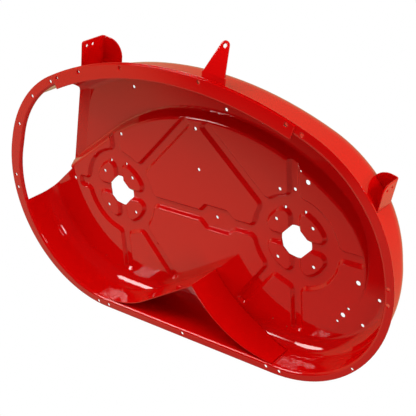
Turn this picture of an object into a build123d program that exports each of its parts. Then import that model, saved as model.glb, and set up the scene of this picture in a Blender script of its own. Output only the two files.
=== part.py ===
"""Lawn mower deck: a pressed steel shell with a front strip, a rear baffle and three brackets."""
import os
from math import acos, atan2, cos, degrees, hypot, radians, sin, tan

from build123d import *

# Sheet and levels. Z is up and the underside of the rim flange is z = 0.
sheet = 2.8
pan_level = 95.0
tunnel_rise = 27.0
shoulder = 40.0
roof_level = pan_level + tunnel_rise
clear = 400.0

# The spindle seats stand on the X axis, the discharge end is at -X and the front at -Y.
spindle_pitch = 540.0
spindle_x = spindle_pitch / 2
seats = ((-spindle_x, 0.0), (spindle_x, 0.0))

# Inner face of the wall in plan: two end arcs, two corner arcs, a front arc and a straight rear.
wall_end_radius = 275.0
wall_left_angle = 201.0
wall_left_tighten = 3.0
wall_left_corner = wall_end_radius - wall_left_tighten
wall_right_angle = -7.0
wall_right_ease = 25.0
wall_right_corner = wall_end_radius + wall_right_ease
front_x = -8.0
wall_front_reach = 96.0
wall_front_y = -(wall_end_radius + wall_front_reach)
wall_front_radius = 880.0
wall_left_x = -(spindle_x + wall_end_radius)
wall_right_x = spindle_x + wall_end_radius

# Outer edge of the rim flange in plan, wider than the wall's arcs and shifted from their centres.
rim_left_width = 32.6
rim_left_shift_x = -1.4
rim_left_shift_y = -9.2
rim_left_radius = wall_end_radius + rim_left_width
rim_left_end = (rim_left_shift_x - spindle_x, rim_left_shift_y)
rim_right_width = 31.0
rim_right_shift_x = -8.0
rim_right_shift_y = -8.5
rim_right_radius = wall_end_radius + rim_right_width
rim_right_end = (rim_right_shift_x + spindle_x, rim_right_shift_y)
rim_left_angle = 201.2
rim_left_ease = 26.4
rim_left_corner = rim_left_radius + rim_left_ease
rim_right_angle = -6.0
rim_right_ease = 12.0
rim_right_corner = rim_right_radius + rim_right_ease
rim_front_width = 24.0
rim_front_flare = 50.0
rim_front_y = wall_front_y - rim_front_width
rim_front_radius = wall_front_radius + rim_front_flare
rim_bend = 4.0

# Near edge of the slanted step between the pan and the tunnel roof.
step_x = 32.0
tunnel_width = 128.4
step_front_y = wall_front_y + tunnel_width
step_radius = 540.0
step_centre = (step_x, step_front_y + step_radius)
step_left_angle = -124.4
step_tip_room = 78.0
step_tip_radius = wall_end_radius - step_tip_room
step_tip_shift = 21.6782
step_tip_run = spindle_x - step_tip_shift - step_x
step_tip_angle = -degrees(acos(step_tip_run / (step_radius - step_tip_radius)))
step_tip_end = 40.0
step_slope = 60.0
step_bend = 8.0

# The roof comes down to the pan round the right end in a smooth ramp.
ramp_from_y = -200.0
ramp_to_y = 120.0
ramp_from_x = 225.0

# Pressed beads: channels raised from the pan, with slanted sides.
bead_rise = 7.5
bead_width = 32.0
bead_slope = 45.0
ring_radius = 99.0
ring_width = 38.0
bead_left_end = -420.0
bead_right_end = 448.0
bead_front_room = 36.6
bead_front_end = step_front_y + bead_front_room
bead_rear_room = 3.0
bead_rear_end = wall_end_radius - shoulder - bead_rear_room
bead_corner = 12.0
bead_fillet = 13.0
front_spoke_angle = 44.0
front_spoke_end = 345.0
rear_spoke_angle = 51.0
rear_spoke_end = 266.0
boss_x = 47.0
boss_length = 105.0
boss_width = 68.0
boss_corner = 12.0

# Spindle openings: a circle with a flat toward each bolt.
seat_opening_radius = 41.0
seat_flat = 35.0
bolt_square = 96.5
bolt_hole = 4.3
pilot_x = 26.5
pilot_y = -80.0
pilot_hole = 3.2

# Discharge window in the left end, above the hoop, with the roof turned down a little along its edge.
hoop_height = 8.0
window_front = (wall_left_x + 146.0, wall_front_y + 116.0)
window_front_out = (wall_left_x + 105.0, wall_front_y + 61.0)
window_step_top = (wall_left_x + 88.0, -41.0)
window_step_foot = (wall_left_x + 99.0, -27.0)
window_rear = (wall_left_x + 4.0, 53.0)
window_rear_out = (wall_left_x - 95.0, 136.0)
lip_width = 34.0
lip_angle = 5.0

# Punched holes, by radius and place.
nib_hole = 1.6
tiny_hole = 2.4
small_hole = 3.4
plain_hole = 4.3
wide_hole = 6.0
boss_hole = (43.3, -2.5)
front_panel_hole = (3.0, -120.0)
front_edge_hole = (2.0, -222.0)
roof_front_hole = (75.0, -272.0)
roof_left_hole = (-209.0, -283.0)
left_pair_first = (-290.5, -146.0)
left_pair_second = (-244.0, -163.0)
left_end_hole = (-437.0, -2.0)
left_rear_hole = (-159.0, 123.0)
right_pair_first = (234.0, -124.0)
right_pair_second = (269.6, -128.3)
right_edge_hole = (290.0, -178.0)
right_wide_hole = (308.0, -156.0)
idler_hole = (432.0, 53.0)
idler_row_middle = (393.5, 146.5)
idler_row_angle = -55.0
idler_row_pitch = 25.0
idler_outer_hole = (443.5, 156.5)
idler_far_hole = (483.0, 80.5)
rim_pair_pitch = 37.0
rim_pair_left_inset = 13.5
rim_pair_left_x = rim_left_end[0] - rim_left_radius + rim_pair_left_inset
rim_pair_right_inset = 14.0
rim_pair_right_x = rim_right_end[0] + rim_right_radius - rim_pair_right_inset
rim_rear_y = rim_right_end[1] + rim_right_radius
rim_rear_left_inset = 6.5
rim_rear_pair_left = (-283.5, rim_rear_y - rim_rear_left_inset)
rim_rear_right_inset = 11.5
rim_rear_pair_right = (263.5, rim_rear_y - rim_rear_right_inset)
rim_rear_inset = 9.5
rim_rear_hole = (-9.0, rim_rear_y - rim_rear_inset)
rim_quarter_angle = 45.0
rim_quarter_inset = 6.5
left_nibs = ((-392.3, 198.3), (-352.2, 209.9), (-310.1, 229.0))
right_nibs = ((201.5, 221.5), (240.5, 231.0))
hoop_holes = ((-369.6, -307.4), (-447.1, -258.0), (-517.0, -172.0))

# Front strip, a flat bar under the front of the rim flange.
strip_thickness = 3.0
strip_lip = 2.5
strip_width = 34.0
strip_left_x = -359.4
strip_right_x = 345.0
strip_end_radius = 4.0
strip_hole_inset = 9.5
strip_hole_xs = (-341.0, -262.0, -123.0, 104.0, 323.0)
rim_right_front_hole = (358.0, -305.0)

# Rear baffle, a bent strip from just above the rim plane up to the pan.
baffle_sheet = 2.5
baffle_foot = 2.0
baffle_end_angle = 92.0
baffle_cusp_angle = 149.4
baffle_straight_angle = 60.0

# Side brackets: an upright ear and a gusset with one large round corner, folded from one plate.
ear_sheet = 3.0
ear_top = 93.0
ear_root = 14.0
ear_bend = 4.0
ear_hole = 3.6
ear_hole_inset = 13.5
ear_hole_rise = 16.0
ear_hole_pitch = 19.0
gusset_corner = 38.0
left_ear_root = (-281.7, wall_front_y + 42.9)
left_ear_angle = -78.0
left_ear_reach = 87.0
left_ear_foot = 21.5
left_ear_corner = 6.0
left_gusset_width = 65.0
right_ear_root = (wall_right_x - 38.0, wall_front_y + 217.0)
right_ear_angle = -74.5
right_ear_reach = 65.0
right_ear_foot = 34.0
right_ear_corner = 16.0
right_gusset_width = 54.0

# Nose bracket: a foot on the front flange and a lug bent up from it.
nose_sheet = 3.0
nose_x = 143.0
nose_turn = 10.0
nose_foot_width = 62.0
nose_foot_room = 4.0
nose_foot_back = wall_front_y + nose_foot_room
nose_overhang = 2.0
nose_bend_y = rim_front_y - nose_overhang
nose_lug_width = 56.0
nose_lug_reach = 63.0
nose_lug_angle = 29.0
nose_tip_radius = 11.0
nose_hole = 4.6


def polar(centre, radius, angle):
    """The point at a radius and an angle in degrees from a centre."""
    return (centre[0] + radius * cos(radians(angle)), centre[1] + radius * sin(radians(angle)))


def corner_arc(end, radius, angle, corner, front, front_radius, heading):
    """Centre and front seam angle of a corner arc that a straight run joins to an end arc."""
    start = polar(end, radius - corner, angle)
    span_x = start[0] - front[0]
    span_y = start[1] - front[1]
    along = span_x * cos(radians(heading)) + span_y * sin(radians(heading))
    run = (along**2 - span_x**2 - span_y**2 + (front_radius - corner) ** 2) ** 0.5 - along
    centre = polar(start, run, heading)
    seam = degrees(atan2(centre[1] - front[1], centre[0] - front[0]))
    return centre, seam


def rounded_plan(left_end, right_end, front_y, front_radius, grow):
    """Plan face of the deck, grown outward; each end gives centre, radius, corner angle and corner radius."""
    front = (front_x, front_y + front_radius)
    left, left_radius, left_angle, left_size = left_end
    right, right_radius, right_angle, right_size = right_end
    left_corner, left_seam = corner_arc(*left_end, front, front_radius, left_angle + 90)
    right_corner, right_seam = corner_arc(*right_end, front, front_radius, right_angle - 90)
    lean = degrees(atan2(right[1] - left[1], right[0] - left[0]))
    rear = lean + degrees(acos((left_radius - right_radius) / hypot(right[0] - left[0], right[1] - left[1])))
    edges = [
        CenterArc(right, right_radius + grow, right_angle, rear - right_angle),
        Line(polar(right, right_radius + grow, right_angle), polar(right_corner, right_size + grow, right_angle)),
        CenterArc(right_corner, right_size + grow, right_seam, right_angle - right_seam),
        CenterArc(front, front_radius + grow, left_seam, right_seam - left_seam),
        CenterArc(left_corner, left_size + grow, left_angle, 360 + left_seam - left_angle),
        Line(polar(left_corner, left_size + grow, left_angle), polar(left, left_radius + grow, left_angle)),
        CenterArc(left, left_radius + grow, rear, left_angle - rear),
        Line(polar(left, left_radius + grow, rear), polar(right, right_radius + grow, rear)),
    ]
    return make_face(edges).face()


def wall_plan(grow):
    """Plan face inside the wall's inner face, grown outward."""
    left_end = (seats[0], wall_end_radius, wall_left_angle, wall_left_corner)
    right_end = (seats[1], wall_end_radius, wall_right_angle, wall_right_corner)
    return rounded_plan(left_end, right_end, wall_front_y, wall_front_radius, grow)


def rim_plan(grow):
    """Plan face inside the outer edge of the rim flange, grown outward."""
    left_end = (rim_left_end, rim_left_radius, rim_left_angle, rim_left_corner)
    right_end = (rim_right_end, rim_right_radius, rim_right_angle, rim_right_corner)
    return rounded_plan(left_end, right_end, rim_front_y, rim_front_radius, grow)


def step_tip():
    """Centre of the arc that turns the step round the right end."""
    return polar(step_centre, step_radius - step_tip_radius, step_tip_angle)


def pan_plan():
    """Plan face of the pan side of the step."""
    left_touch = polar(step_centre, step_radius, step_left_angle)
    left_end = polar(left_touch, clear, step_left_angle - 90)
    tip_end = polar(step_tip(), step_tip_radius, step_tip_end)
    edges = [
        Line(left_end, left_touch),
        CenterArc(step_centre, step_radius, step_left_angle, step_tip_angle - step_left_angle),
        CenterArc(step_tip(), step_tip_radius, step_tip_angle, step_tip_end - step_tip_angle),
        Line(tip_end, (tip_end[0], clear)),
        Line((tip_end[0], clear), (left_end[0], clear)),
        Line((left_end[0], clear), left_end),
    ]
    return make_face(edges).face()


def block(plan, low, high):
    """A plan face raised between two levels."""
    return Pos(0, 0, low) * extrude(plan, high - low)


def step_section(offset):
    """Section of the space over the step: a bend at the foot, a slope and a bend at the top."""
    slope = radians(step_slope)
    run = tunnel_rise / tan(slope) + 2 * step_bend * tan(slope / 2)
    foot = polar((0, step_bend), step_bend - offset, step_slope - 90)
    top = polar((run, tunnel_rise - step_bend), step_bend + offset, step_slope + 90)
    high = 2 * tunnel_rise + offset
    with BuildSketch(Plane.XZ) as section:
        with BuildLine():
            CenterArc((0, step_bend), step_bend - offset, -90, step_slope)
            Line(foot, top)
            CenterArc((run, tunnel_rise - step_bend), step_bend + offset, 90, step_slope)
            Line((run, tunnel_rise + offset), (run, high))
            Line((run, high), (-step_bend, high))
            Line((-step_bend, high), (-step_bend, offset))
            Line((-step_bend, offset), (0, offset))
        make_face()
    return section.sketch


def step_air(offset):
    """Space over the pan and over the step round it."""
    section = step_section(offset)
    left_touch = polar(step_centre, step_radius, step_left_angle)
    arc = revolve(Pos(step_radius, 0, 0) * section, Axis.Z, step_tip_angle - step_left_angle)
    tip = revolve(Pos(step_tip_radius, 0, 0) * section, Axis.Z, step_tip_end - step_tip_angle)
    air = Location((*left_touch, pan_level), (0, 0, step_left_angle)) * extrude(section, clear)
    air += Location((*step_centre, pan_level), (0, 0, step_left_angle)) * arc
    air += Location((*step_tip(), pan_level), (0, 0, step_tip_angle)) * tip
    return air + block(pan_plan(), pan_level + offset, pan_level + 2 * tunnel_rise + offset)


def ramp_air(offset):
    """Space over the ramp that brings the tunnel roof down round the right end."""
    low = pan_level + offset
    high = roof_level + offset
    with BuildPart() as air:
        with BuildSketch(Plane.YZ.offset(ramp_from_x)):
            with BuildLine():
                Spline((ramp_from_y, high), (ramp_to_y, low), tangents=((1, 0), (1, 0)))
                Line((ramp_to_y, low), (clear, low))
                Line((clear, low), (clear, high + tunnel_rise))
                Line((clear, high + tunnel_rise), (ramp_from_y, high + tunnel_rise))
                Line((ramp_from_y, high + tunnel_rise), (ramp_from_y, high))
            make_face()
        extrude(amount=2 * clear)
    return air.part


def window_block():
    """Everything cut from the left end above the hoop."""
    plan = make_face(
        Polyline(
            window_front_out, window_front, window_step_top, window_step_foot, window_rear, window_rear_out,
            (-2 * clear, window_rear_out[1]), (-2 * clear, window_front_out[1]), close=True,
        )
    )
    return block(plan, hoop_height, 2 * clear)


def lip_air(offset):
    """Space over the roof's edge along the window, where the roof is turned down."""
    rise_x = window_step_top[0] - window_front[0]
    rise_y = window_step_top[1] - window_front[1]
    heading = degrees(atan2(rise_y, rise_x))
    bend = polar(window_front, lip_width - offset * tan(radians(lip_angle / 2)), heading - 90)
    reach = 2 * lip_width
    drop = reach * tan(radians(lip_angle))
    with BuildSketch(Plane.XZ) as section:
        Polygon((0, 0), (-reach, -drop), (-reach, reach), (0, reach), align=None)
    wedge = extrude(section.sketch, clear, both=True)
    return Location((*bend, roof_level + offset), (0, 0, heading - 90)) * wedge


def body(offset):
    """Solid under the pressed sheet, out to one distance from its inner face."""
    plan = wall_plan(offset)
    tunnel = block(plan, 0, roof_level + offset) - ramp_air(offset) - step_air(offset)
    solid = tunnel + block(plan, 0, pan_level + offset) - window_block()
    outline = plan.outer_wire()
    crest = [
        e for e in solid.edges()
        if e.center().Z > pan_level
        and outline.distance_to(Vertex((e @ 0.5).X, (e @ 0.5).Y, 0)) < sheet / 100
        and abs((e % 0.5).Z) < cos(radians(45))
    ]
    return fillet(crest, shoulder + offset) - lip_air(offset)


def bead(start, end):
    """Plan of one straight channel at its foot."""
    angle = degrees(atan2(end[1] - start[1], end[0] - start[0]))
    length = hypot(end[0] - start[0], end[1] - start[1])
    middle = ((start[0] + end[0]) / 2, (start[1] + end[1]) / 2, 0)
    return Location(middle, (0, 0, angle)) * RectangleRounded(length, bead_width, bead_corner)


def boss_plan():
    """Plan of the boss on the bridge, tapered at both ends."""
    half = boss_width / 2
    flat = boss_length / 2 - (boss_width - bead_width) / 2
    long = boss_length / 2 + bead_width / 2
    outline = Polygon(
        (-long, 0), (-flat, -half), (flat, -half), (long, 0), (flat, half), (-flat, half), align=None
    )
    corners = outline.vertices().group_by(Axis.Y)[0] + outline.vertices().group_by(Axis.Y)[-1]
    return Pos(boss_x, 0) * fillet(corners, boss_corner)


def bead_plan():
    """Plan of all the channels at their foot."""
    plan = bead((bead_left_end, 0), (bead_right_end, 0)) + boss_plan()
    for side, seat in zip((-1, 1), seats):
        front = -90 - side * (90 - front_spoke_angle)
        rear = 90 + side * (90 - rear_spoke_angle)
        ring = Circle(ring_radius + ring_width / 2) - Circle(ring_radius - ring_width / 2)
        plan += Pos(*seat) * ring
        plan += bead((seat[0], bead_front_end), (seat[0], bead_rear_end))
        plan += bead(polar(seat, ring_radius, front), polar(seat, front_spoke_end, front))
        plan += bead(polar(seat, ring_radius, rear), polar(seat, rear_spoke_end, rear))
    return plan


def rounded_inside(plan, radius, grow):
    """A plan with its inner corners rounded, then grown outward."""
    return offset(offset(plan, radius), grow - radius)


def beads(offset):
    """All the channels of the pan, their inner corners rounded and their sides slanted."""
    grow = offset * tan(radians(bead_slope / 2))
    foot = rounded_inside(bead_plan(), bead_fillet, grow)
    channels = extrude(foot, -bead_rise) + extrude(foot, bead_rise, taper=bead_slope)
    return Pos(0, 0, pan_level + offset) * channels


def pressing(offset):
    """The whole solid under the sheet, beads included."""
    return body(offset) + beads(offset)


def bore(place, radius):
    """A cutter through the whole height of the deck."""
    return Pos(place[0], place[1], roof_level / 2) * Cylinder(radius, clear)


def seat_cuts(seat):
    """Spindle opening, bolt holes and pilot holes of one seat."""
    flats = Rectangle(2 * seat_flat, 2 * seat_flat, rotation=45)
    opening = block(Circle(seat_opening_radius) & flats, pan_level / 2, roof_level)
    cuts = [Pos(seat[0], seat[1], 0) * opening]
    for place in GridLocations(bolt_square, bolt_square, 2, 2):
        cuts.append(bore((seat[0] + place.position.X, seat[1] + place.position.Y), bolt_hole))
    for side in (-1, 1):
        cuts.append(bore((seat[0] + side * pilot_x, seat[1] + pilot_y), pilot_hole))
    return cuts


def pan_holes():
    """Punched holes of the pan and the tunnel roof."""
    plain = [
        boss_hole, front_panel_hole, front_edge_hole, roof_front_hole, roof_left_hole,
        left_pair_first, left_pair_second, left_end_hole, left_rear_hole,
        right_pair_first, right_pair_second, idler_outer_hole, idler_far_hole,
    ]
    cuts = [bore(place, plain_hole) for place in plain] + [bore(right_edge_hole, tiny_hole)]
    cuts += [bore(place, wide_hole) for place in (right_wide_hole, idler_hole, idler_row_middle)]
    cuts += [bore(place, nib_hole) for place in left_nibs + right_nibs]
    for side in (-1, 1):
        cuts.append(bore(polar(idler_row_middle, side * idler_row_pitch, idler_row_angle), small_hole))
    return cuts


def strip_front():
    """Centre of the front arcs of the rim flange and the strip."""
    return (front_x, rim_front_y + rim_front_radius)


def strip_angle(x, radius):
    """Angle about the front centre at which an arc passes one X."""
    return -degrees(acos((x - front_x) / radius))


def strip_holes():
    """Holes through the front strip and the flange above it."""
    radius = rim_front_radius - strip_lip - strip_hole_inset
    return [bore(polar(strip_front(), radius, strip_angle(x, radius)), plain_hole) for x in strip_hole_xs]


def rim_holes():
    """Punched holes of the rim flange."""
    half = rim_pair_pitch / 2
    quarter = polar(rim_right_end, rim_right_radius - rim_quarter_inset, rim_quarter_angle)
    places = [rim_rear_hole, rim_right_front_hole]
    for side in (-1, 1):
        places.append((rim_pair_left_x, side * half))
        places.append((rim_pair_right_x, side * half))
        places.append((rim_rear_pair_left[0] + side * half, rim_rear_pair_left[1]))
        places.append((rim_rear_pair_right[0] + side * half, rim_rear_pair_right[1]))
    places += hoop_holes
    return [bore(place, plain_hole) for place in places] + [bore(quarter, small_hole)]


def deck_shell():
    """The pressed sheet: pan, tunnel, wall, rim flange and every hole."""
    cavity = pressing(0)
    flange = block(rim_plan(0) - wall_plan(sheet / 2), 0, sheet)
    shell = pressing(sheet) - cavity + flange
    mouth = bend_edges(shell, wall_plan(0), 0)
    shell = fillet(mouth, rim_bend + sheet)
    root = bend_edges(shell, wall_plan(sheet), sheet)
    shell = fillet(root, rim_bend)
    cuts = pan_holes() + rim_holes() + strip_holes()
    for seat in seats:
        cuts += seat_cuts(seat)
    return shell - cuts


def bend_edges(solid, plan, level):
    """Edges of a solid that follow a plan outline at one level."""
    outline = plan.outer_wire()
    found = []
    for edge in solid.edges():
        middle = edge @ 0.5
        flat = abs(middle.Z - level) < sheet / 100
        if flat and outline.distance_to(Vertex(middle.X, middle.Y, 0)) < sheet / 100:
            found.append(edge)
    return found


def front_strip():
    """Flat bar under the front flange, cut square at both ends with the right corners eased."""
    centre = strip_front()
    outer = rim_front_radius - strip_lip
    inner = outer - strip_width
    left = strip_angle(strip_left_x, outer)
    right = strip_angle(strip_right_x, outer)
    plan = make_face([
        CenterArc(centre, outer, left, right - left),
        Line(polar(centre, outer, right), polar(centre, inner, right)),
        CenterArc(centre, inner, left, right - left),
        Line(polar(centre, inner, left), polar(centre, outer, left)),
    ])
    plan = fillet(plan.vertices().sort_by(Axis.X)[-2:], strip_end_radius)
    return block(plan, -strip_thickness, 0) - strip_holes()


def rear_baffle():
    """Bent strip of two wings, trimmed to the underside of the pan and shoulder."""
    radius = wall_end_radius / sin(radians(baffle_end_angle)) - baffle_sheet / 2
    cusp = polar(seats[1], radius, baffle_cusp_angle)
    bend = polar(seats[0], radius, baffle_straight_angle)
    left_end = 180 - baffle_end_angle
    line = [
        CenterArc(seats[1], radius, baffle_end_angle, baffle_cusp_angle - baffle_end_angle),
        Line(cusp, bend),
        CenterArc(seats[0], radius, baffle_straight_angle, left_end - baffle_straight_angle),
    ]
    plan = trace(line, baffle_sheet) + Pos(*cusp) * Circle(baffle_sheet / 2)
    return block(plan, baffle_foot, pan_level) & body(0)


def side_bracket(root, angle, reach, foot, corner, width):
    """Upright ear and gusset folded from one plate, seated on the outer wall."""
    side = width / abs(width)
    upright = Plane.XZ * Pos((reach - ear_root) / 2, (ear_top + foot) / 2) * Rectangle(
        reach + ear_root, ear_top - foot
    )
    upright = fillet(upright.vertices().group_by(Axis.X)[-1].sort_by(Axis.Z)[0], corner)
    plate = extrude(upright, side * -ear_sheet)
    for index in range(2):
        height = foot + ear_hole_rise + index * ear_hole_pitch
        plate -= Pos(reach - ear_hole_inset, 0, height) * Rot(90, 0, 0) * Cylinder(ear_hole, 4 * ear_sheet)
    gusset = Pos((reach - ear_root) / 2, width / 2) * Rectangle(reach + ear_root, abs(width))
    gusset = fillet(gusset.vertices().group_by(Axis.X)[-1].sort_by_distance((reach, width, 0))[0], gusset_corner)
    plate += block(gusset, ear_top - ear_sheet, ear_top)
    inside = (reach / 2, side * ear_sheet, ear_top - ear_sheet)
    plate = fillet(plate.edges().filter_by(Axis.X).sort_by_distance(inside)[0], ear_bend)
    outside = (reach / 2, 0, ear_top)
    plate = fillet(plate.edges().filter_by(Axis.X).sort_by_distance(outside)[0], ear_bend + ear_sheet)
    return Location((root[0], root[1], 0), (0, 0, angle)) * plate - body(sheet)


def nose_bracket():
    """Foot on the front flange and a lug bent up from it, rounded round its hole."""
    foot = Pos(0, (nose_foot_back + nose_bend_y) / 2) * Rectangle(nose_foot_width, nose_foot_back - nose_bend_y)
    rise = radians(nose_lug_angle)
    slope = Plane(
        origin=(0, nose_bend_y, sheet), x_dir=(1, 0, 0), z_dir=(0, -sin(rise), -cos(rise))
    )
    half = nose_lug_width / 2
    outline = make_hull([
        Line((-half, 0), (half, 0)),
        CenterArc((0, nose_lug_reach), nose_tip_radius, 0, 360),
    ])
    lug = slope * (outline - Pos(0, nose_lug_reach) * Circle(nose_hole))
    plate = block(foot, sheet, sheet + nose_sheet) + extrude(lug, -nose_sheet)
    turn = Location((nose_x, nose_bend_y, 0), (0, 0, nose_turn)) * Pos(0, -nose_bend_y, 0)
    return turn * plate


def main():
    """Build every piece and write one file each."""
    os.makedirs("parts", exist_ok=True)
    pieces = {
        "deck_shell": deck_shell(),
        "front_strip": front_strip(),
        "rear_baffle": rear_baffle(),
        "left_bracket": side_bracket(
            left_ear_root, left_ear_angle, left_ear_reach, left_ear_foot, left_ear_corner, left_gusset_width
        ),
        "right_bracket": side_bracket(
            right_ear_root, right_ear_angle, right_ear_reach, right_ear_foot, right_ear_corner, -right_gusset_width
        ),
        "nose_bracket": nose_bracket(),
    }
    for name, piece in pieces.items():
        export_step(piece, f"parts/{name}.step")


main()
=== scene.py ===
"""Looks of a pressed lawn mower deck: gloss red paint, softened press lines and a plain studio."""
import logging
import math
from dataclasses import dataclass
from enum import Enum

import bmesh
import bpy
from mathutils import Matrix, Vector


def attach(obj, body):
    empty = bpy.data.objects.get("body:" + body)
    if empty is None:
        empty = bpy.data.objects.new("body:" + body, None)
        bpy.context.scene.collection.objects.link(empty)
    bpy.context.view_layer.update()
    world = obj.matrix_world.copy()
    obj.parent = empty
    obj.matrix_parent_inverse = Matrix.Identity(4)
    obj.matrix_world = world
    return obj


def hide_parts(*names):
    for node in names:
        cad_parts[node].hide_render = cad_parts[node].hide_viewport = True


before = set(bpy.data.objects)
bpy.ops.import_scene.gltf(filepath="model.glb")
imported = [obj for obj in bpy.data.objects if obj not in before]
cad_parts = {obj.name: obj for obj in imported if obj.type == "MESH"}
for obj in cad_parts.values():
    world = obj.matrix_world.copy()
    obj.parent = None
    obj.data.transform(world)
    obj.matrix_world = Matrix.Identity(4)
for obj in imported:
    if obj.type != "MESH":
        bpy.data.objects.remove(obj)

LOG = logging.getLogger("mower_deck")
BODY = "root"
MERGE_DISTANCE = 2e-6
FLAT_ANGLE = math.radians(0.3)
NOISE_LOW = 0.3
NOISE_HIGH = 0.7

Colour = tuple[float, float, float]
Point = tuple[float, float, float]


class Ray(Enum):
    """Kinds of ray that the floor and the surroundings answer in their own way."""

    CAMERA = "Is Camera Ray"
    GLOSSY = "Is Glossy Ray"


class Graph:
    """The node tree of a material or world, with short calls that add and join nodes."""

    def __init__(self, owner: bpy.types.Material | bpy.types.World) -> None:
        """Clear the tree of a material or world and keep it.

        Args:
            owner: the material or world to write.
        """
        owner.use_nodes = True
        self.tree = owner.node_tree
        self.tree.nodes.clear()

    def add(self, kind: str, **settings: object) -> bpy.types.Node:
        """Add a node.

        Args:
            kind: the node's type name.
            settings: values of its own properties.

        Returns:
            The new node.
        """
        node = self.tree.nodes.new(kind)
        for name, value in settings.items():
            setattr(node, name, value)
        return node

    def join(self, source: bpy.types.NodeSocket, target: bpy.types.NodeSocket) -> None:
        """Link an output to an input."""
        self.tree.links.new(source, target)

    def ray(self, kind: Ray) -> bpy.types.NodeSocket:
        """Give the output that is one for rays of a kind and zero for others."""
        return self.add("ShaderNodeLightPath").outputs[kind.value]

    def noise(self, scale: float, detail: float, roughness: float) -> bpy.types.Node:
        """Add a noise texture on Object coordinates.

        Args:
            scale: waves in a metre.
            detail: octaves.
            roughness: strength of the finer octaves.

        Returns:
            The texture node.
        """
        place = self.add("ShaderNodeTexCoord")
        texture = self.add("ShaderNodeTexNoise")
        texture.inputs["Scale"].default_value = scale
        texture.inputs["Detail"].default_value = detail
        texture.inputs["Roughness"].default_value = roughness
        self.join(place.outputs["Object"], texture.inputs["Vector"])
        return texture

    def spread(self, source: bpy.types.NodeSocket, low: float, high: float) -> bpy.types.Node:
        """Map a noise value to a range.

        Args:
            source: the noise output.
            low: result at the noise's low end.
            high: result at its high end.

        Returns:
            The mapping node.
        """
        node = self.add("ShaderNodeMapRange")
        node.inputs["From Min"].default_value = NOISE_LOW
        node.inputs["From Max"].default_value = NOISE_HIGH
        node.inputs["To Min"].default_value = low
        node.inputs["To Max"].default_value = high
        self.join(source, node.inputs["Value"])
        return node


@dataclass(frozen=True)
class GlossPaint:
    """Gloss powder coat: an even colour with a faint drift, and the fine orange peel of baked paint."""

    name: str = "gloss_red_paint"
    colour: Colour = (0.57, 0.0012, 0.0012)
    deep_colour: Colour = (0.53, 0.0010, 0.0010)
    drift_scale: float = 3.2
    drift_detail: float = 2.0
    drift_fineness: float = 0.5
    smooth: float = 0.015
    rough: float = 0.035
    haze_scale: float = 7.0
    haze_detail: float = 3.0
    haze_fineness: float = 0.55
    peel_scale: float = 420.0
    peel_detail: float = 1.0
    peel_fineness: float = 0.4
    peel_depth: float = 0.00001
    specular: float = 0.45
    press_round: float = 0.0035
    press_samples: int = 6

    def material(self) -> bpy.types.Material:
        """Write the paint as a material.

        Returns:
            The new material.
        """
        made = bpy.data.materials.new(self.name)
        graph = Graph(made)
        out = graph.add("ShaderNodeOutputMaterial")
        paint = graph.add("ShaderNodeBsdfPrincipled")
        graph.join(paint.outputs["BSDF"], out.inputs["Surface"])
        paint.inputs["Specular IOR Level"].default_value = self.specular

        drift = graph.noise(self.drift_scale, self.drift_detail, self.drift_fineness)
        share = graph.spread(drift.outputs["Fac"], 0.0, 1.0)
        tone = graph.add("ShaderNodeMix", data_type="RGBA")
        tone.inputs["A"].default_value = (*self.colour, 1.0)
        tone.inputs["B"].default_value = (*self.deep_colour, 1.0)
        graph.join(share.outputs["Result"], tone.inputs["Factor"])
        graph.join(tone.outputs["Result"], paint.inputs["Base Color"])

        haze = graph.noise(self.haze_scale, self.haze_detail, self.haze_fineness)
        gloss = graph.spread(haze.outputs["Fac"], self.smooth, self.rough)
        graph.join(gloss.outputs["Result"], paint.inputs["Roughness"])

        peel = graph.noise(self.peel_scale, self.peel_detail, self.peel_fineness)
        round_off = graph.add("ShaderNodeBevel", samples=self.press_samples)
        round_off.inputs["Radius"].default_value = self.press_round
        bump = graph.add("ShaderNodeBump")
        graph.join(round_off.outputs["Normal"], bump.inputs["Normal"])
        bump.inputs["Strength"].default_value = 1.0
        bump.inputs["Distance"].default_value = self.peel_depth
        graph.join(peel.outputs["Fac"], bump.inputs["Height"])
        graph.join(bump.outputs["Normal"], paint.inputs["Normal"])
        return made


@dataclass
class PressedShell:
    """The pressed shell, shown by its own solid, with press lines that the paint rounds off."""

    node: str = "deck_shell"

    def dress(self, paint: bpy.types.Material) -> bpy.types.Object:
        """Paint the shell.

        Args:
            paint: its material.

        Returns:
            The shell's object.
        """
        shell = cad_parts[self.node]
        shell.data.materials.clear()
        shell.data.materials.append(paint)
        return shell


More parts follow.
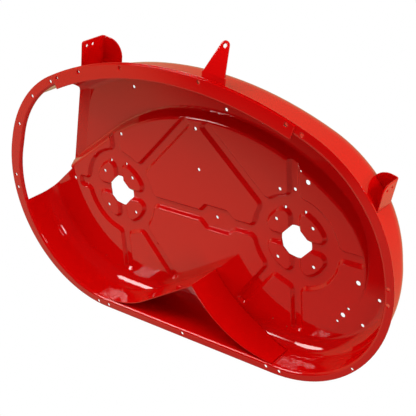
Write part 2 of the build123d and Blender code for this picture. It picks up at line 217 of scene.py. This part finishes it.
@dataclass
class SheetPiece:
    """A steel piece fixed to the shell, shown by a merged copy of its solid with eased edges."""

    node: str
    label: str
    cut_angle: float = 72.0
    cut_round: float = 0.0005
    cut_steps: int = 2
    sharp_angle: float = 40.0
    face_weight: int = 80

    def build(self) -> bpy.types.Object:
        """Copy the solid's mesh, merge it, ease its edges and let it stand for the solid.

        Returns:
            The new piece.
        """
        work = bmesh.new()
        work.from_mesh(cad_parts[self.node].data)
        bmesh.ops.remove_doubles(work, verts=work.verts, dist=MERGE_DISTANCE)
        bmesh.ops.dissolve_limit(work, angle_limit=FLAT_ANGLE, verts=work.verts, edges=work.edges)
        self.ease(work)
        mesh = bpy.data.meshes.new(self.label)
        work.to_mesh(mesh)
        work.free()
        piece = bpy.data.objects.new(self.label, mesh)
        bpy.context.scene.collection.objects.link(piece)
        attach(piece, BODY)
        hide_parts(self.node)
        return piece

    def is_cut_edge(self, edge: bmesh.types.BMEdge) -> bool:
        """True if an edge lies between two faces that turn by the cut angle or more."""
        if len(edge.link_faces) != 2:
            return False
        return math.radians(self.cut_angle) <= edge.calc_face_angle(0.0) < math.pi

    def ease(self, work: bmesh.types.BMesh) -> None:
        """Round every cut edge.

        Args:
            work: the mesh to change.
        """
        edges = [edge for edge in work.edges if self.is_cut_edge(edge)]
        bmesh.ops.bevel(
            work, geom=edges, offset=self.cut_round, offset_type="OFFSET", segments=self.cut_steps,
            profile=0.5, affect="EDGES", material=-1, clamp_overlap=False, loop_slide=True,
        )

    def dress(self, piece: bpy.types.Object, paint: bpy.types.Material) -> None:
        """Paint a piece and shade it by its larger faces.

        Args:
            piece: the piece to dress.
            paint: its material.
        """
        piece.data.materials.clear()
        piece.data.materials.append(paint)
        piece.data.shade_smooth()
        piece.data.set_sharp_from_angle(angle=math.radians(self.sharp_angle))
        even = piece.modifiers.new("even_shading", "WEIGHTED_NORMAL")
        even.keep_sharp = True
        even.weight = self.face_weight


@dataclass(frozen=True)
class Lamp:
    """A rectangular softbox aimed at the deck, which does not show in the gloss."""

    name: str
    place: Point
    power: float
    width: float = 1.4
    height: float = 1.4
    aim: Point = (0.0, 0.0, 0.05)

    def build(self) -> bpy.types.Object:
        """Hang the lamp.

        Returns:
            The lamp's object.
        """
        light = bpy.data.lights.new(self.name, "AREA")
        light.shape = "RECTANGLE"
        light.size = self.width
        light.size_y = self.height
        light.energy = self.power
        lamp = bpy.data.objects.new(self.name, light)
        lamp.location = self.place
        toward = Vector(self.aim) - Vector(self.place)
        lamp.rotation_euler = toward.to_track_quat("-Z", "Y").to_euler()
        lamp.visible_glossy = False
        bpy.context.scene.collection.objects.link(lamp)
        return lamp


@dataclass(frozen=True)
class Panel:
    """A part of the surroundings that the gloss shows: all directions near enough to the one it faces.

    The edge is the least cosine between the two, and the fade is how far the panel's edge softens.
    """

    name: str
    facing: Point
    edge: float
    fade: float
    colour: Colour


@dataclass(frozen=True)
class Studio:
    """Pale floor, white surroundings, soft lamps and the camera below the deck."""

    floor_level: float = -0.0033
    floor_size: float = 12.0
    floor_colour: Colour = (0.26, 0.26, 0.26)
    floor_glow: Colour = (0.74, 0.74, 0.74)
    fill: float = 0.06
    backdrop: float = 1.0
    dark: Colour = (0.03, 0.03, 0.03)
    panels: tuple[Panel, ...] = (
        Panel("paper_back", (-0.589, 0.428, 0.686), 0.03, 0.04, (0.54, 0.52, 0.29)),
        Panel("white_card", (-0.613, 0.631, -0.477), 0.927, 0.015, (0.62, 0.60, 0.40)),
        Panel("paper_ground", (0.224, 0.901, -0.371), 0.57, 0.04, (0.38, 0.36, 0.26)),
        Panel("strip_light", (-0.621, -0.516, -0.591), 0.987, 0.002, (15.0, 14.7, 14.2)),
        Panel("front_light", (0.755, -0.606, -0.251), 0.9962, 0.001, (16.0, 15.6, 15.0)),
    )
    eye: Point = (1.28304, -0.94201, -1.37239)
    target: Point = (0.02336, -0.02521, 0.095)
    up: Point = (-0.22415, -0.90130, 0.37069)
    lens: float = 77.88
    sensor: float = 36.0
    nearest: float = 0.05
    farthest: float = 50.0
    lamps: tuple[Lamp, ...] = (
        Lamp("front_low", (0.69, -2.47, -0.52), 34.0),
        Lamp("front_left_low", (-0.62, -2.23, -1.17), 24.0),
        Lamp("left_low", (-2.0, -0.2, -1.57), 22.0),
        Lamp("left_front", (-1.82, -1.80, -0.41), 15.0),
        Lamp("right_front", (2.53, -0.70, -0.05), 58.0),
        Lamp("right_rear_low", (1.51, 0.84, -1.88), 18.0),
        Lamp("below", (0.13, 0.78, -2.41), 6.0),
        Lamp("above", (-1.2, 1.0, 2.2), 30.0),
        Lamp("rear_above", (0.9, 2.2, 1.4), 26.0),
    )

    def build(self) -> None:
        """Make the floor, the surroundings, the lamps and the camera."""
        self.build_floor()
        self.build_world()
        for lamp in self.lamps:
            lamp.build()
        self.build_camera()

    def build_floor(self) -> None:
        """Lay a pale floor that shows, and takes shadows, only from above."""
        work = bmesh.new()
        bmesh.ops.create_grid(work, x_segments=1, y_segments=1, size=self.floor_size / 2)
        bmesh.ops.translate(work, verts=work.verts, vec=(0.0, 0.0, self.floor_level))
        mesh = bpy.data.meshes.new("floor")
        work.to_mesh(mesh)
        work.free()
        floor = bpy.data.objects.new("floor", mesh)
        bpy.context.scene.collection.objects.link(floor)
        mesh.materials.append(self.floor_material())

    def floor_material(self) -> bpy.types.Material:
        """Write the floor's material: pale for what looks down on it, clear for everything else.

        Returns:
            The new material.
        """
        made = bpy.data.materials.new("pale_floor")
        graph = Graph(made)
        out = graph.add("ShaderNodeOutputMaterial")
        pale = graph.add("ShaderNodeBsdfDiffuse")
        pale.inputs["Color"].default_value = (*self.floor_colour, 1.0)
        glow = graph.add("ShaderNodeEmission")
        glow.inputs["Color"].default_value = (*self.floor_glow, 1.0)
        even = graph.add("ShaderNodeAddShader")
        graph.join(pale.outputs["BSDF"], even.inputs[0])
        graph.join(glow.outputs["Emission"], even.inputs[1])
        clear = graph.add("ShaderNodeBsdfTransparent")
        side = graph.add("ShaderNodeNewGeometry")
        front = graph.add("ShaderNodeMath", operation="SUBTRACT", use_clamp=True)
        graph.join(graph.ray(Ray.CAMERA), front.inputs[0])
        graph.join(side.outputs["Backfacing"], front.inputs[1])
        pick = graph.add("ShaderNodeMixShader")
        graph.join(front.outputs["Value"], pick.inputs["Fac"])
        graph.join(clear.outputs["BSDF"], pick.inputs[1])
        graph.join(even.outputs["Shader"], pick.inputs[2])
        graph.join(pick.outputs["Shader"], out.inputs["Surface"])
        return made

    def build_world(self) -> None:
        """Surround the deck: white for the camera, panels for the gloss, a soft fill for the rest."""
        world = bpy.data.worlds.new("white_room")
        bpy.context.scene.world = world
        graph = Graph(world)
        out = graph.add("ShaderNodeOutputWorld")
        fill = graph.add("ShaderNodeBackground")
        fill.inputs["Strength"].default_value = self.fill
        seen = graph.add("ShaderNodeBackground")
        seen.inputs["Strength"].default_value = self.backdrop
        for background in (fill, seen):
            background.inputs["Color"].default_value = (1.0, 1.0, 1.0, 1.0)
        gloss = graph.add("ShaderNodeBackground")
        graph.join(self.surroundings(graph), gloss.inputs["Color"])
        mirror = graph.add("ShaderNodeMixShader")
        graph.join(graph.ray(Ray.GLOSSY), mirror.inputs["Fac"])
        graph.join(fill.outputs["Background"], mirror.inputs[1])
        graph.join(gloss.outputs["Background"], mirror.inputs[2])
        direct = graph.add("ShaderNodeMixShader")
        graph.join(graph.ray(Ray.CAMERA), direct.inputs["Fac"])
        graph.join(mirror.outputs["Shader"], direct.inputs[1])
        graph.join(seen.outputs["Background"], direct.inputs[2])
        graph.join(direct.outputs["Shader"], out.inputs["Surface"])

    def surroundings(self, graph: Graph) -> bpy.types.NodeSocket:
        """Lay the panels over the dark of the room, by direction.

        Args:
            graph: the world's nodes.

        Returns:
            The colour that the gloss shows.
        """
        way = graph.add("ShaderNodeTexCoord")
        shown = None
        for panel in self.panels:
            along = graph.add("ShaderNodeVectorMath", operation="DOT_PRODUCT")
            along.inputs[1].default_value = panel.facing
            graph.join(way.outputs["Generated"], along.inputs[0])
            share = graph.add("ShaderNodeMapRange", interpolation_type="SMOOTHSTEP")
            share.inputs["From Min"].default_value = panel.edge - panel.fade
            share.inputs["From Max"].default_value = panel.edge + panel.fade
            graph.join(along.outputs["Value"], share.inputs["Value"])
            laid = graph.add("ShaderNodeMix", data_type="RGBA")
            graph.join(share.outputs["Result"], laid.inputs["Factor"])
            laid.inputs["A"].default_value = (*self.dark, 1.0)
            if shown is not None:
                graph.join(shown, laid.inputs["A"])
            laid.inputs["B"].default_value = (*panel.colour, 1.0)
            shown = laid.outputs["Result"]
        return shown

    def build_camera(self) -> None:
        """Stand the camera where the photograph was taken from."""
        data = bpy.data.cameras.new("camera")
        data.lens = self.lens
        data.sensor_width = self.sensor
        data.clip_start = self.nearest
        data.clip_end = self.farthest
        camera = bpy.data.objects.new("camera", data)
        back = (Vector(self.eye) - Vector(self.target)).normalized()
        right = Vector(self.up).cross(back).normalized()
        up = back.cross(right)
        turn = Matrix((right, up, back)).transposed()
        camera.matrix_world = Matrix.Translation(self.eye) @ turn.to_4x4()
        bpy.context.scene.collection.objects.link(camera)
        bpy.context.scene.camera = camera


def main() -> None:
    """Build the deck's pieces and the studio, and log the number of faces of each piece."""
    logging.basicConfig(level=logging.INFO, format="%(name)s %(message)s")
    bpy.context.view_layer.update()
    paint = GlossPaint().material()
    shell = PressedShell().dress(paint)
    LOG.info("%s: %d faces", shell.name, len(shell.data.polygons))
    pieces = (
        SheetPiece("front_strip", "strip"),
        SheetPiece("rear_baffle", "baffle"),
        SheetPiece("left_bracket", "left_hanger"),
        SheetPiece("right_bracket", "right_hanger"),
        SheetPiece("nose_bracket", "nose_lug"),
    )
    for piece in pieces:
        made = piece.build()
        piece.dress(made, paint)
        LOG.info("%s: %d faces", made.name, len(made.data.polygons))
    Studio().build()
    bpy.context.scene.view_settings.view_transform = "Standard"


if __name__ == "__main__":
    main()
